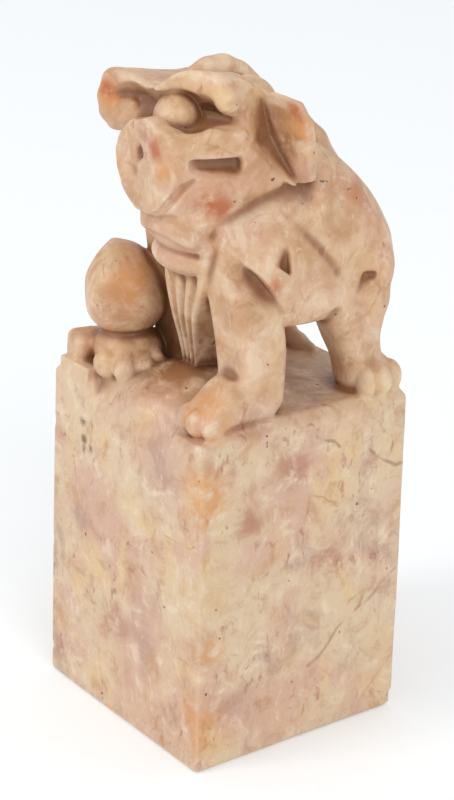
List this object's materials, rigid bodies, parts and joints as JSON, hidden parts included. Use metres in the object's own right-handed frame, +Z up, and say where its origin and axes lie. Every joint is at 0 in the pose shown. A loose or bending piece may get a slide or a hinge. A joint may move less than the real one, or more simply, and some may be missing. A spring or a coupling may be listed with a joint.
{
  "type": "carved stone seal stamp",
  "caption": "Square soapstone seal stamp with a carved guardian lion standing on top as its handle and a fret design cut into the printing face",
  "frame": {"origin": "centre of the printing face, on the surface the seal stands on", "axes": "+Z up from the printing face to the lion, -Y the way the lion faces, +X the lion's left"},
  "size_m": [0.03, 0.029, 0.0789],
  "materials": {
    "soapstone": "satin polished soapstone"
  },
  "bodies": {
    "root": {"print_face": "soapstone", "seal_block": "soapstone", "plinth": "soapstone", "nose_pad": "soapstone", "left_eye": "soapstone", "right_eye": "soapstone", "muzzle": "soapstone", "left_brow": "soapstone", "right_brow": "soapstone", "left_ear": "soapstone", "right_ear": "soapstone", "crest": "soapstone", "skull": "soapstone", "lower_jaw": "soapstone", "beard": "soapstone", "left_shoulder": "soapstone", "right_shoulder": "soapstone", "left_haunch": "soapstone", "right_haunch": "soapstone", "trunk": "soapstone", "left_foreleg": "soapstone", "right_foreleg": "soapstone", "left_hind_leg": "soapstone", "right_hind_leg": "soapstone", "left_forepaw": "soapstone", "right_forepaw": "soapstone", "left_hind_paw": "soapstone", "right_hind_paw": "soapstone", "chest_apron": "soapstone", "right_foreleg_fringe": "soapstone", "corner_scroll": "soapstone", "mane_locks": "soapstone", "tail": "soapstone", "tail_curl": "soapstone"}
  },
  "joints": []
}
